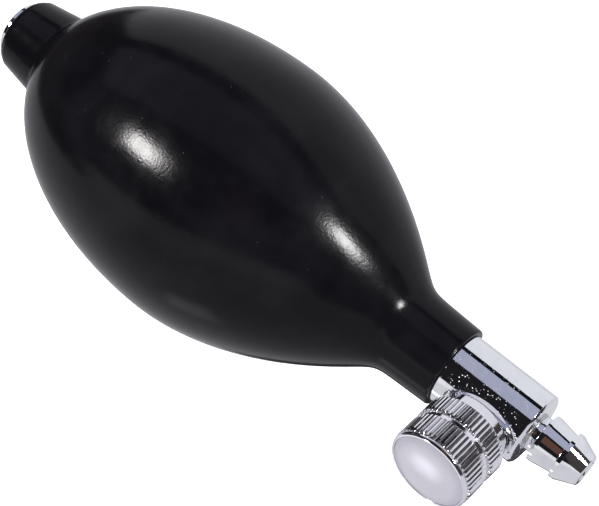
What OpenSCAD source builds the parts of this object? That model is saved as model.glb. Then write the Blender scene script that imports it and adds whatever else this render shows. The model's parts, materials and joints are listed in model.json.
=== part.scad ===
// Squeeze air bulb with an air release valve and a barbed hose tail.
// The object lies on a bench: +Z is up, z = 0 is the bench, +X runs with the bulb's axis
// towards the hose tail and the thumb screw points to -Y. The origin is under the middle
// of the object's box. All sizes are in millimetres.
// Every sub-part is drawn in the bulb's own axes, with x = 0 at the widest section and
// +X towards the hose tail, and on_bench() lays the whole object down.

/* [Bulb] */
// Widest diameter of the rubber bulb
bulb_d = 50; // [44:1:60]
// Distance from the widest section to the pole of the rear dome
bulb_rear = 41.7; // [34:0.1:52]
// Distance from the widest section to the pole of the front dome
bulb_front = 47.1; // [40:0.1:58]
// Thickness of the rubber wall
wall = 2.6; // [1.8:0.1:4]

/* [Front neck] */
// Diameter of the front neck at its rim
front_neck_d = 14.8; // [14:0.1:18]
// Diameter of the front neck where it leaves the dome
front_neck_root_d = 16.8; // [15:0.1:20]
// How far the front rim lies beyond the dome's pole
front_neck_reach = 2.9; // [1:0.1:6]
// Bore of the front neck
front_bore_d = 10; // [9.4:0.1:11]

/* [Rear neck] */
// Diameter of the rear neck near its end
rear_neck_d = 13.5; // [12.5:0.1:17]
// Diameter of the rear neck where it leaves the dome
rear_neck_root_d = 15.9; // [13.5:0.1:18]
// How far the rear end lies beyond the dome's pole
rear_neck_reach = 7.3; // [4:0.1:10]
// Bore of the rear neck
rear_bore_d = 8.8; // [8:0.1:10]

/* [Inlet valve] */
// Diameter of the chromed flange that closes the rear neck
flange_d = 10.8; // [9.6:0.1:12]
// Thickness of that flange
flange_t = 0.9; // [0.5:0.1:1.5]
// Diameter of the inlet port under the ball
inlet_port_d = 3; // [2:0.1:3.6]
// Travel of the inlet ball from its seat to its cage
inlet_travel = 1.1; // [0.6:0.1:1.6]

/* [Outlet valve] */
// Diameter of the outlet port under the ball
outlet_port_d = 3.2; // [2:0.1:3.8]
// Travel of the outlet ball from its seat to its cage
outlet_travel = 1.2; // [0.6:0.1:1.6]
// Width of the nipple's shoulder that the valve body screws up to
nipple_shoulder = 0.8; // [0.5:0.1:0.9]
// Length of the thread between the nipple and the valve body
nipple_thread_len = 5; // [4:0.1:5]

/* [Valve body] */
// Diameter of the turned valve body
body_d = 13; // [12:0.1:14]
// Length of the valve body in front of the rubber rim
body_len = 16.4; // [15.6:0.1:24]
// Distance from the rubber rim to the axis of the thumb screw
screw_from_rim = 8.9; // [8.6:0.1:10]
// Diameter of the air passage through the body
passage_d = 3; // [2:0.1:3]

/* [Release screw] */
// Pitch of the release screw's thread
screw_pitch = 0.75; // [0.5:0.05:1]
// Turns from closed to fully open
screw_turns = 1.5; // [0.5:0.1:1.5]
// Diameter of the release screw's thread
screw_d = 3; // [2.8:0.1:3.2]
// Diameter of the needle's orifice
orifice_d = 1.4; // [0.8:0.1:1.6]
// Thread diameter of the gland nut
gland_d = 6; // [5.8:0.1:6.4]
// How far the gland nut stands out from the valve body's side
gland_reach = 4.7; // [4:0.1:5]

/* [Thumb knob] */
// Diameter over the knurl
knob_d = 14.7; // [13:0.1:18]
// Number of ribs round the knob
knob_ribs = 52; // [36:1:64]
// Depth of the knurl
rib_depth = 0.35; // [0.2:0.05:0.5]
// Gap between the closed knob and the flat on the valve body
knob_gap = 0.25; // [0.2:0.05:1]
// Length of the smooth collar at the knob's rear
collar_len = 2.35; // [1.5:0.05:3]
// Length of the rear knurled band
rear_band = 3.8; // [2:0.1:6]
// Width of the smooth groove between the two bands
groove_w = 0.7; // [0.4:0.1:1.5]
// Length of the front knurled band
front_band = 4.8; // [4:0.1:8]
// Length of the bevel round the cap
bevel_len = 0.6; // [0.3:0.1:1]
// Width of the rim left round the domed cap
cap_rim = 0.65; // [0.5:0.05:1.2]
// Height of the cap's dome
cap_dome = 0.8; // [0.3:0.1:1.5]

/* [Hose tail] */
// Diameter of the tail's plain root
tail_root_d = 6.4; // [6.2:0.1:7]
// Diameter over the two barbs
barb_d = 8.5; // [7.4:0.1:10]
// Length of the cylindrical land on each barb's crest
barb_land = 0.8; // [0.4:0.1:1.2]
// Distance from one barb to the next
barb_pitch = 4.4; // [3.5:0.1:7]
// How far each barb tapers inwards, on the radius
barb_taper = 0.6; // [0.3:0.1:0.8]
// Length of the second barb, from its shoulder to the tip
tip_len = 4.3; // [3:0.1:7]
// Diameter of the tip
tip_d = 5.5; // [4.4:0.1:6.4]
// Bore of the tail
tail_bore_d = 2.8; // [2:0.1:3]

/* [Fits] */
// Radial clearance of a running fit
run_fit = 0.04; // [0.02:0.01:0.08]
// Radial clearance of screwed and pushed-in pieces
seat_fit = 0.03; // [0.02:0.01:0.08]
// How far the ring barbs bite into the rubber
bite = 0.2; // [0.1:0.05:0.4]

/* [Hidden] */
$fn = 96;

RUBBER = "#1b1b1e";
CHROME = "#c9ccd4";
PEARL = "#d6d3de";
BRASS = "#c8a850";
STEEL = "#9a9da3";
NYLON = "#e6e2d6";
FIBRE = "#8c3b2a";
BRONZE = "#9c7a48";

// ---- the rubber's outline ------------------------------------------------------------

bulb_r = bulb_d / 2;
front_power = 1.91;
front_root = 0.96;
rear_power = 2.07;
rear_root = 0.5;
front_crease = 0.7;
rear_crease = 0.25;
bore_crease = 0.5;
front_rim = bulb_front + front_neck_reach;
rear_end = -(bulb_rear + rear_neck_reach);
end_round = 1.3;
rim_round = 0.35;
outline_steps = 80;

// Radius of a dome at the distance x from the widest section; inset makes its lining.
function dome(x, inset) =
    let (pole = (x < 0 ? bulb_rear : bulb_front) - inset,
         share = min(abs(x) / pole, 1),
         power = x < 0 ? rear_power : front_power,
         root = x < 0 ? rear_root : front_root)
    (bulb_r - inset) * pow(1 - pow(share, power), root);

// Radius of the tapered neck at x.
function neck(x) = x < 0
    ? rear_neck_d / 2 + (rear_neck_root_d - rear_neck_d) / 2 * (x - rear_end) / rear_neck_reach
    : front_neck_d / 2 + (front_neck_root_d - front_neck_d) / 2 * (front_rim - x)
        / (front_rim - bulb_front + bulb_r / 2);

// The larger of two radii, with a hollow fillet of size soft where they meet.
function blend(a, b, soft) = max(a, b) + soft * ln(1 + exp(-abs(a - b) / soft));

function outer_r(x) = blend(dome(x, 0), neck(x), x < 0 ? rear_crease : front_crease);
function inner_r(x) = blend(dome(x, wall), (x < 0 ? rear_bore_d : front_bore_d) / 2, bore_crease);

// A corner's quarter round, from angle a to angle b, as [x, r] points.
function round_corner(x, r, radius, a, b) =
    [for (i = [0:4]) let (t = a + (b - a) * i / 4) [x + radius * cos(t), r + radius * sin(t)]];

rubber_outside = concat(
    round_corner(rear_end + end_round, outer_r(rear_end) - end_round, end_round, 180, 100),
    [for (i = [1:outline_steps])
        let (x = rear_end + end_round + (front_rim - rim_round - rear_end - end_round)
             * (i - 0.5) / outline_steps)
        [x, outer_r(x)]],
    round_corner(front_rim - rim_round, outer_r(front_rim) - rim_round, rim_round, 80, 0));

cavity_from = -(bulb_rear - wall) - 1;
cavity_to = bulb_front - wall + 1;
rubber_inside = concat(
    [[front_rim, front_bore_d / 2]],
    [for (i = [0:outline_steps]) let (x = cavity_to + (cavity_from - cavity_to) * i / outline_steps)
        [x, x > cavity_to - 1 || x < cavity_from + 1
            ? (x < 0 ? rear_bore_d : front_bore_d) / 2 : inner_r(x)]],
    [[rear_end, rear_bore_d / 2]]);

// ---- the two ball valves -------------------------------------------------------------

// Each ball sits in a 45 degree cone that opens from the port's radius.
ball_gap = 0.45;
ball_cover = 0.2;
stop_gap = 0.01;
cage_t = 1.2;
cage_lip = 0.45;
cage_hole_d = 1.1;
cage_holes = 5;
filter_t = 0.6;
ring_t = 0.6;
ring_w = 0.8;
barb_rings = 3;
flange_edge = 0.25;
function ball_for(port_d) = port_d * sqrt(2) + ball_cover;
function seated(cone, port_d) =
    cone - port_d / 2 + ball_for(port_d) / 2 * sqrt(2) + stop_gap;

filter_d = 7;
inlet_outside = rear_end - flange_t;
inlet_recess = flange_t + 0.7;
inlet_floor = inlet_outside + inlet_recess;
inlet_cone = inlet_floor + 2.6;
inlet_ball_d = ball_for(inlet_port_d);
inlet_open = seated(inlet_cone, inlet_port_d) + inlet_travel;
inlet_cage_face = inlet_open + inlet_ball_d / 2 + stop_gap;
inlet_chamber_d = inlet_ball_d + 2 * ball_gap;
inlet_cage_d = inlet_chamber_d + 2 * cage_lip;
inlet_inside = inlet_cage_face + cage_t + 1.2;

strainer_d = 7.2;
nipple_inside = front_rim - 11.5;
strainer_face = nipple_inside + 1.1;
outlet_cone = strainer_face + 2.4;
outlet_ball_d = ball_for(outlet_port_d);
outlet_open = seated(outlet_cone, outlet_port_d) + outlet_travel;
outlet_cage_face = outlet_open + outlet_ball_d / 2 + stop_gap;
outlet_chamber_d = outlet_ball_d + 2 * ball_gap;
outlet_cage_d = outlet_chamber_d + 2 * cage_lip;
nipple_end = front_rim + nipple_thread_len;
nipple_thread_d = front_bore_d - 2 * nipple_shoulder;

// ---- the valve body and the release screw --------------------------------------------

body_r = body_d / 2;
body_front = front_rim + body_len;
body_chamfer = 0.4;
thread_runout = 0.2;
screw_x = front_rim + screw_from_rim;
tail_thread_d = tail_root_d - 0.6;
tail_thread_from = screw_x + gland_d / 2 + 0.1;

// Along the screw's own axis, measured outwards from the bulb's axis.
orifice_floor = passage_d / 2 + 0.3;
seat_bush_t = 1;
seat_bush_d = 4.2;
seat_top = orifice_floor + seat_bush_t;
seat_cone_h = 0.5;
needle_gap = 0.03;
needle_tip_d = 0.8;
needle_stem_d = 2.6;
needle_tip = seat_top - seat_cone_h - orifice_d / 2 + needle_tip_d / 2 + needle_gap;
needle_top = needle_tip + (needle_stem_d - needle_tip_d) / 2;
stop_from = needle_top + 0.2;
stop_t = 0.6;
stop_d = 4;
screw_travel = screw_pitch * screw_turns;
vent_d = 1;
vent_at = seat_top + 0.05 + vent_d / 2;
gland_inside = seat_top + vent_d + 0.1;
gland_stop = stop_from + stop_t + screw_travel + 0.02;
spot_face = body_r - 0.6;
spot_margin = 0.3;
gasket_t = 0.3;
gland_flange_d = 7.8;
gland_flange_t = 1.1;
gland_tube_d = 6.2;
gland_end = body_r + gland_reach;

// The O-ring rides in a groove of the spindle, in the mouth of the gland nut.
o_ring_t = 0.8;
o_ring_groove_d = screw_d - 0.5;
o_ring_mid_d = o_ring_groove_d + o_ring_t;
o_ring_bore_d = o_ring_groove_d + 2 * o_ring_t + 2 * run_fit;
o_ring_at = gland_end - screw_travel - 0.2 - o_ring_t / 2;

// The knob, from its rear edge to the top of its cap.
knob_r = knob_d / 2;
knob_rear = spot_face + knob_gap;
rear_band_from = knob_rear + collar_len;
groove_from = rear_band_from + rear_band;
front_band_from = groove_from + groove_w;
knob_rim = front_band_from + front_band;
knob_end = knob_rim + bevel_len;
collar_d = knob_d - 2;
collar_edge = 0.4;
core_r = knob_r - rib_depth - 0.1;
rim_r = knob_r - 0.12;
cap_d = knob_d - 2 * cap_rim;
knob_hollow_d = 9;
knob_web = gland_end + 1;
cap_seat = knob_rim - 0.4;
screw_seat = cap_seat - 1.3;
screw_head_d = 4;
screw_head_t = 1;
screw_shank_d = 1.6;
spindle_end_d = 2.6;
spindle_end = screw_seat - 0.3;

// ---- the hose tail -------------------------------------------------------------------

tail_gasket_t = 0.35;
tail_face = body_front + tail_gasket_t;
root_len = 1.2;
barb_1 = tail_face + root_len;
barb_2 = barb_1 + barb_pitch;
tail_tip = barb_2 + tip_len;
tip_round = 0.4;
tail_mouth = 0.4;
barb_foot_d = barb_d - 2 * barb_taper;
barb_edge = 0.1;

tail_outside = concat(
    [[tail_face, tail_root_d / 2], [barb_1, tail_root_d / 2],
     [barb_1, barb_d / 2 - barb_edge], [barb_1 + barb_edge, barb_d / 2],
     [barb_1 + barb_land, barb_d / 2], [barb_2, barb_foot_d / 2],
     [barb_2, barb_d / 2 - barb_edge], [barb_2 + barb_edge, barb_d / 2],
     [barb_2 + barb_land, barb_d / 2]],
    round_corner(tail_tip - tip_round, tip_d / 2 - tip_round, tip_round, 60, 0));

body_outside = [
    [front_rim, body_r - body_chamfer / 2], [front_rim + body_chamfer / 2, body_r],
    [body_front - body_chamfer, body_r], [body_front, body_r - body_chamfer]];

// ---- how the object lies -------------------------------------------------------------

// It rests on the bulb's belly, on its nose and on the rim of the knob.
function reach(points, a) = max([for (p = points) p.x * sin(a) + p.y * cos(a)]);
function nose_reach(a) = reach(concat(body_outside, tail_outside), a);
function solve_pitch(low, high, n) =
    let (mid = (low + high) / 2)
    n == 0 ? mid
        : nose_reach(mid) > reach(rubber_outside, mid) ? solve_pitch(low, mid, n - 1)
        : solve_pitch(mid, high, n - 1);
pitch = solve_pitch(0, 45, 40);
lift = reach(rubber_outside, pitch);
knob_drop = lift - screw_x * sin(pitch);
rim_dip = asin(min(1, knob_drop / norm([knob_r, knob_rim]))) - atan2(knob_r, knob_rim);
droop = asin(sin(rim_dip) / cos(pitch));
x_high = reach(concat(body_outside, tail_outside), 90 - pitch);
x_low = -reach([for (p = concat(rubber_outside, [[inlet_outside, flange_d / 2 - flange_edge],
                                               [inlet_outside + flange_edge, flange_d / 2]]))
                [-p.x, p.y]], 90 - pitch);

module on_bench()
    translate([-(x_high + x_low) / 2, 0, lift])
        rotate([0, pitch, 0]) rotate([droop, 0, 0]) children();

// ---- shared shapes -------------------------------------------------------------------

// A turned piece about Z, from [height, radius] points.
module turned(points) rotate_extrude() polygon([for (p = points) [p.y, p.x]]);

// Z of the children runs along the bulb's axis.
module along() rotate([0, 90, 0]) children();

// Z of the children runs out along the release screw's axis.
module across() translate([screw_x, 0, 0]) rotate([90, 0, 0]) children();

// A round bar about Z, from one height to another.
module bar(d, from, to) translate([0, 0, from]) cylinder(d = d, h = to - from);

// A cone about Z that opens at 45 degrees from d1 to d2, starting at the height from.
module cone(d1, d2, from) translate([0, 0, from]) cylinder(d1 = d1, d2 = d2, h = (d2 - d1) / 2);

// A barrel for a rubber neck: its ring barbs slope towards the end that goes in first.
module barrel(d, from, to, slope_to_low) {
    bar(d, from, to);
    step = (to - from) / (barb_rings + 1);
    for (i = [1:barb_rings]) translate([0, 0, from + i * step - step / 4])
        cylinder(d1 = d + (slope_to_low ? 0 : 2 * bite), d2 = d + (slope_to_low ? 2 * bite : 0),
                 h = step / 2);
}

// The bore that a ball works in, as one turned shape: its port, its 45 degree seat and its
// chamber, which runs on into the wider pocket that its cage sits in.
module ball_bore(port_d, chamber_d, from, seat, to)
    turned([[from, 0], [from, port_d / 2], [seat, port_d / 2],
            [seat + (chamber_d - port_d) / 2, chamber_d / 2], [to, chamber_d / 2], [to, 0]]);

// A drilled cage that stops a ball and lets the air past.
module cage(d, chamber_d, from) difference() {
    bar(d - 2 * seat_fit, from, from + cage_t);
    for (i = [0:cage_holes - 1]) rotate(i * 360 / cage_holes)
        translate([chamber_d / 2 - cage_hole_d / 2, 0]) bar(cage_hole_d, from - 1, from + cage_t + 1);
}

// One knurled band of the knob: straight ribs with sharp crests.
module knurl(from, to) translate([0, 0, from]) linear_extrude(to - from)
    polygon([for (i = [0:2 * knob_ribs - 1]) let (a = i * 180 / knob_ribs)
        (knob_r - (i % 2) * rib_depth) * [cos(a), sin(a)]]);

// ---- the rubber bulb and its inlet valve ---------------------------------------------

module bulb() color(RUBBER) on_bench() along()
    turned(concat(rubber_outside, rubber_inside));

module inlet_plug() color(CHROME) on_bench() along() difference() {
    union() {
        barrel(rear_bore_d, rear_end, inlet_inside, false);
        turned([[inlet_outside, 0], [inlet_outside, flange_d / 2 - flange_edge],
                [inlet_outside + flange_edge, flange_d / 2], [rear_end, flange_d / 2],
                [rear_end, 0]]);
    }
    bar(filter_d, inlet_outside - 1, inlet_floor);
    ball_bore(inlet_port_d, inlet_chamber_d, inlet_floor - 1, inlet_cone, inlet_cage_face + cage_t);
    bar(inlet_cage_d, inlet_cage_face, inlet_inside + 1);
}

module inlet_filter() color(BRONZE) on_bench() along()
    bar(filter_d - 2 * seat_fit, inlet_floor - filter_t, inlet_floor);

module inlet_ring() color(STEEL) on_bench() along() difference() {
    bar(filter_d - 2 * seat_fit, inlet_floor - filter_t - ring_t, inlet_floor - filter_t);
    bar(filter_d - 2 * ring_w, inlet_outside - 1, inlet_floor);
}

module inlet_ball() color(STEEL) on_bench()
    translate([inlet_open, 0, 0]) sphere(d = inlet_ball_d);

module inlet_cage() color(BRASS) on_bench() along()
    cage(inlet_cage_d, inlet_chamber_d, inlet_cage_face);

// ---- the check nipple and its outlet valve -------------------------------------------

module check_nipple() color(BRASS) on_bench() along() difference() {
    union() {
        barrel(front_bore_d, nipple_inside, front_rim, true);
        bar(nipple_thread_d, front_rim - 1, nipple_end);
    }
    bar(strainer_d, nipple_inside - 1, strainer_face);
    ball_bore(outlet_port_d, outlet_chamber_d, strainer_face - 1, outlet_cone,
              outlet_cage_face + cage_t);
    bar(outlet_cage_d, outlet_cage_face, nipple_end + 1);
}

module outlet_strainer() color(BRONZE) on_bench() along()
    bar(strainer_d - 2 * seat_fit, strainer_face - filter_t, strainer_face);

module outlet_ball() color(STEEL) on_bench()
    translate([outlet_open, 0, 0]) sphere(d = outlet_ball_d);

module outlet_cage() color(BRASS) on_bench() along()
    cage(outlet_cage_d, outlet_chamber_d, outlet_cage_face);

// ---- the valve body ------------------------------------------------------------------

module valve_body() color(CHROME) on_bench() difference() {
    along() turned(concat([[front_rim, 0]], body_outside, [[body_front, 0]]));
    along() {
        bar(nipple_thread_d + 2 * seat_fit, front_rim - 1, nipple_end + thread_runout);
        bar(passage_d, front_rim, body_front);
        bar(tail_thread_d + 2 * seat_fit, tail_thread_from - thread_runout, body_front + 1);
    }
    across() {
        bar(orifice_d, 0, seat_top);
        bar(seat_bush_d + 2 * seat_fit, orifice_floor, gland_inside + 1);
        bar(gland_d + 2 * seat_fit, gland_inside, body_r + 1);
        bar(collar_d + 2 * spot_margin, spot_face, body_r + 1);
        translate([0, 0, vent_at]) rotate([90, 0, 0]) cylinder(d = vent_d, h = body_r);
    }
}

module needle_seat() color(NYLON) on_bench() across() difference() {
    bar(seat_bush_d, orifice_floor, seat_top);
    bar(orifice_d, orifice_floor - 1, seat_top);
    cone(orifice_d, orifice_d + 2 * (seat_cone_h + 1), seat_top - seat_cone_h);
}

module gland_gasket() color(FIBRE) on_bench() across() difference() {
    bar(gland_flange_d, spot_face, spot_face + gasket_t);
    bar(gland_d + 2 * seat_fit, spot_face - 1, spot_face + gasket_t + 1);
}

module gland_nut() color(BRASS) on_bench() across() difference() {
    union() {
        bar(gland_d, gland_inside, spot_face + gasket_t + 1);
        bar(gland_flange_d, spot_face + gasket_t, spot_face + gasket_t + gland_flange_t);
        bar(gland_tube_d, spot_face + gasket_t, gland_end);
    }
    bar(stop_d + 4 * run_fit, gland_inside - 1, gland_stop);
    bar(screw_d + 2 * run_fit, gland_inside, gland_end + 1);
    bar(o_ring_bore_d, o_ring_at - o_ring_t / 2 - 0.1, gland_end + 1);
}

// ---- the release screw and its knob --------------------------------------------------

module needle_screw() color(STEEL) on_bench() across() difference() {
    turned([[needle_tip, 0], [needle_tip, needle_tip_d / 2], [needle_top, needle_stem_d / 2],
            [stop_from, needle_stem_d / 2], [stop_from, stop_d / 2],
            [stop_from + stop_t, stop_d / 2], [stop_from + stop_t, screw_d / 2],
            [o_ring_at - o_ring_t / 2, screw_d / 2],
            [o_ring_at - o_ring_t / 2, o_ring_groove_d / 2 - run_fit],
            [o_ring_at + o_ring_t / 2, o_ring_groove_d / 2 - run_fit],
            [o_ring_at + o_ring_t / 2, screw_d / 2],
            [knob_web, screw_d / 2], [knob_web, spindle_end_d / 2],
            [spindle_end, spindle_end_d / 2], [spindle_end, 0]]);
    bar(screw_shank_d, knob_web, spindle_end + 1);
}

module spindle_o_ring() color(RUBBER) on_bench() across() translate([0, 0, o_ring_at])
    rotate_extrude() translate([o_ring_mid_d / 2, 0]) circle(d = o_ring_t - 2 * run_fit);

module thumb_knob() color(CHROME) on_bench() across() difference() {
    union() {
        turned([[knob_rear, 0], [knob_rear, collar_d / 2 - collar_edge],
                [knob_rear + collar_edge, collar_d / 2], [rear_band_from - collar_edge, collar_d / 2],
                [rear_band_from, core_r], [knob_rim, core_r], [knob_rim, rim_r],
                [knob_end, rim_r - bevel_len / 3], [knob_end, 0]]);
        knurl(rear_band_from, groove_from);
        knurl(front_band_from, knob_rim);
    }
    bar(knob_hollow_d, knob_rear - 1, knob_web);
    bar(spindle_end_d + 2 * seat_fit, knob_web - 1, screw_seat + 1);
    bar(screw_head_d + 1, screw_seat, cap_seat + 1);
    bar(cap_d, cap_seat, knob_end + 1);
}

module knob_screw() color(STEEL) on_bench() across() {
    bar(screw_head_d, screw_seat, screw_seat + screw_head_t);
    bar(screw_shank_d - 2 * seat_fit, knob_web + 1, screw_seat + 0.5);
}

// The dome is an arc from the cap's edge to its middle.
module knob_cap() {
    edge = cap_d / 2 - seat_fit;
    sphere_r = (edge * edge + cap_dome * cap_dome) / (2 * cap_dome);
    color(PEARL) on_bench() across() intersection() {
        bar(2 * edge, cap_seat, knob_end + cap_dome);
        translate([0, 0, knob_end - 0.1 + cap_dome - sphere_r]) sphere(r = sphere_r, $fn = 400);
    }
}

// ---- the hose tail -------------------------------------------------------------------

module tail_gasket() color(STEEL) on_bench() along() difference() {
    bar(tail_root_d + 0.3, body_front, tail_face);
    bar(tail_thread_d + 2 * seat_fit, body_front - 1, tail_face + 1);
}

module hose_tail() color(CHROME) on_bench() along() difference() {
    union() {
        turned(concat([[tail_face, 0]], tail_outside, [[tail_tip, 0]]));
        bar(tail_thread_d, tail_thread_from, tail_face + 1);
    }
    bar(tail_bore_d, tail_thread_from - 1, tail_tip + 1);
    cone(tail_bore_d, tail_bore_d + 2 * (tail_mouth + 1), tail_tip - tail_mouth);
}

bulb();
inlet_plug();
inlet_filter();
inlet_ring();
inlet_ball();
inlet_cage();
check_nipple();
outlet_strainer();
outlet_ball();
outlet_cage();
valve_body();
needle_seat();
gland_gasket();
gland_nut();
needle_screw();
spindle_o_ring();
thumb_knob();
knob_screw();
knob_cap();
tail_gasket();
hose_tail();
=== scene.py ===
"""Looks of a squeeze air bulb with a release valve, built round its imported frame.

Every turned piece is drawn in millimetres about its own local Z and placed on one of two axes:
the bulb's axis, which runs from the rear neck to the hose tail, or the release screw's axis,
which runs out of the valve body to the thumb knob. The frame's record gives both.
"""

import json
import logging
import math
from collections.abc import Callable, Sequence
from dataclasses import dataclass
from enum import Enum
from typing import ClassVar

import bpy
from bpy.types import ID, Material, Mesh, Node, NodeSocket, Object
from mathutils import Matrix, Vector


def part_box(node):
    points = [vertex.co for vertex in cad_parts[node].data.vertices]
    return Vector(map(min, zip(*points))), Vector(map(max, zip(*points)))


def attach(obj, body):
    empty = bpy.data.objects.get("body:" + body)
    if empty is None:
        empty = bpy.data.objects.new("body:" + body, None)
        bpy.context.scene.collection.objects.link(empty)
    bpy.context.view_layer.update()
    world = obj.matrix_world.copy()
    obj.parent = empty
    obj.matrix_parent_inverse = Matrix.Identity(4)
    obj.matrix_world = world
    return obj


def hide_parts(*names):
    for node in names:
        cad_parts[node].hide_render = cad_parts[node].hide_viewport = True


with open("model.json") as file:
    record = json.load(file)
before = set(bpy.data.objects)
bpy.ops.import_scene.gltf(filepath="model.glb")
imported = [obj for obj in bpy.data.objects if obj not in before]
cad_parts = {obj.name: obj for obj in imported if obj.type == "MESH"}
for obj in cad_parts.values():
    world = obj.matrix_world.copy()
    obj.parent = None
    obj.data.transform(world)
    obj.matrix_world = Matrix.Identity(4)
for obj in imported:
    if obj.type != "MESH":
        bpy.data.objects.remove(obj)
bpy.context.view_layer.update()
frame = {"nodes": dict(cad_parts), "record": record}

MM = 0.001
TINY = 1e-6
SHARP_ANGLE = math.radians(38)
SCREW_FROM_MIDDLE = 58.9  # mm, from the bulb's widest section to the screw's axis
log = logging.getLogger("air_bulb")

Triple = tuple[float, float, float]
Colour = Triple
Point = tuple[float, float]
Relief = Callable[[float, float, float], float]


class Body(Enum):
    """The frame's moving bodies that carry shown pieces."""

    BULB = "bulb_and_valve"
    SCREW = "thumb_screw"


class Slot(Enum):
    """The record's material slots."""

    RUBBER = "rubber"
    CHROME = "chrome"
    PEARL = "cap_pearl"
    BRASS = "brass"
    BRONZE = "bronze"
    STEEL = "steel"
    NYLON = "nylon"
    FIBRE = "fibre"
    NITRILE = "nitrile"


# ---- shader writing ----


@dataclass(frozen=True)
class Level:
    """A number that varies over a surface, for shader maths written as expressions."""

    book: "ShaderBook"
    socket: NodeSocket

    def _join(self, operation: str, left: "Level | float", right: "Level | float") -> "Level":
        """The result of one more Math node on two values."""
        node = self.book.add("ShaderNodeMath", {"operation": operation}, {0: left, 1: right})
        return Level(self.book, node.outputs[0])

    def __add__(self, other: "Level | float") -> "Level":
        """Sum of this and the other."""
        return self._join("ADD", self, other)

    __radd__ = __add__

    def __rsub__(self, other: float) -> "Level":
        """A plain number less this."""
        return self._join("SUBTRACT", other, self)

    def __mul__(self, other: "Level | float") -> "Level":
        """Product of this and the other."""
        return self._join("MULTIPLY", self, other)

    __rmul__ = __mul__

    def __pow__(self, power: float) -> "Level":
        """This raised to a plain power."""
        return self._join("POWER", self, power)

    def ramp(self, low: float, high: float) -> "Level":
        """Smooth step of this value.

        Args:
            low: the value that gives 0.
            high: the value that gives 1; below low, the step runs downwards.

        Returns:
            A level from 0 to 1.
        """
        first, last = (0.0, 1.0) if low < high else (1.0, 0.0)
        node = self.book.add(
            "ShaderNodeMapRange", {"interpolation_type": "SMOOTHSTEP"},
            {"Value": self, "From Min": min(low, high), "From Max": max(low, high),
             "To Min": first, "To Max": last},
        )
        return Level(self.book, node.outputs["Result"])


class ShaderBook:
    """Writes one material's node tree."""

    def __init__(self, name: str) -> None:
        """Starts an empty material.

        Args:
            name: the material's name.
        """
        self.material = bpy.data.materials.new(name)
        self.material.use_nodes = True
        self.tree = self.material.node_tree
        self.tree.nodes.clear()

    def add(self, kind: str, settings: dict | None = None, inputs: dict | None = None) -> Node:
        """Adds one node.

        Args:
            kind: the node's type.
            settings: its properties, set before its sockets.
            inputs: values or links by socket name or number.

        Returns:
            The new node.
        """
        node = self.tree.nodes.new(kind)
        for name, value in (settings or {}).items():
            setattr(node, name, value)
        for name, value in (inputs or {}).items():
            if isinstance(value, Level):
                value = value.socket
            if isinstance(value, NodeSocket):
                self.tree.links.new(value, node.inputs[name])
            else:
                node.inputs[name].default_value = value
        return node

    def place(self) -> NodeSocket:
        """The surface point in the piece's own axes, in metres."""
        return self.add("ShaderNodeTexCoord").outputs["Object"]

    def stretched(self, scale: Triple) -> NodeSocket:
        """The surface point with each axis scaled."""
        node = self.add("ShaderNodeVectorMath", {"operation": "MULTIPLY"},
                        {0: self.place(), 1: scale})
        return node.outputs["Vector"]

    def noise(self, size: float, detail: float = 2.0, scale: Triple = (1, 1, 1)) -> Level:
        """Cloudy noise over the surface.

        Args:
            size: how far apart its clouds are, in millimetres.
            detail: how many finer layers it has.
            scale: stretch of the three axes.

        Returns:
            A level about 0.5.
        """
        node = self.add(
            "ShaderNodeTexNoise", None,
            {"Vector": self.stretched(scale), "Scale": 1 / (size * MM), "Detail": detail},
        )
        return Level(self, node.outputs[0])

    def cells(self, spacing: float) -> Level:
        """Distance to the nearest of many points, in shares of their spacing in millimetres."""
        node = self.add("ShaderNodeTexVoronoi", None,
                        {"Vector": self.place(), "Scale": 1 / (spacing * MM)})
        return Level(self, node.outputs["Distance"])

    def coordinate(self, axis: str) -> Level:
        """One local coordinate, in millimetres."""
        node = self.add("ShaderNodeSeparateXYZ", None, {0: self.place()})
        return Level(self, node.outputs[axis]) * (1 / MM)

    def radius(self) -> Level:
        """Distance from the piece's own axis, in millimetres."""
        x, y = self.coordinate("X"), self.coordinate("Y")
        return (x * x + y * y) ** 0.5

    def mix(self, share: Level, low: "Colour | NodeSocket", high: Colour) -> NodeSocket:
        """Blends two colours.

        Args:
            share: 0 gives low and 1 gives high.
            low: the first colour.
            high: the second colour.

        Returns:
            The blended colour.
        """
        first = low if isinstance(low, NodeSocket) else (*low, 1)
        node = self.add("ShaderNodeMix", {"data_type": "RGBA"},
                        {0: share, 6: first, 7: (*high, 1)})
        return node.outputs[2]

    def bump(self, height: Level, depth: float, below: NodeSocket | None = None) -> NodeSocket:
        """Bends the normal by a height.

        Args:
            height: the height, about 0 to 1.
            depth: the height's scale, in millimetres.
            below: the normal that this one lies on, if any.

        Returns:
            The bent normal.
        """
        inputs = {"Height": height, "Distance": depth * MM, "Strength": 1.0}
        if below is not None:
            inputs["Normal"] = below
        return self.add("ShaderNodeBump", None, inputs).outputs["Normal"]

    def surface(self, **values: object) -> None:
        """Ends the tree in one Principled shader.

        Args:
            values: its sockets, with _ for a space.
        """
        inputs = {name.replace("_", " "): value for name, value in values.items()}
        shader = self.add("ShaderNodeBsdfPrincipled", None, inputs)
        self.add("ShaderNodeOutputMaterial", None, {"Surface": shader.outputs[0]})


# ---- finishes ----


@dataclass(frozen=True)
class Finish:
    """A named finish that writes its own material once. Its sizes are in millimetres."""

    name: str
    slot: Slot | None
    colour: Colour

    def write(self, book: ShaderBook) -> None:
        """Writes the shader. Each finish has its own."""
        raise NotImplementedError

    def material(self) -> Material:
        """The finish's material, made the first time that it's asked for."""
        found = bpy.data.materials.get(self.name)
        if found is None:
            book = ShaderBook(self.name)
            self.write(book)
            found = book.material
        return found


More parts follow.
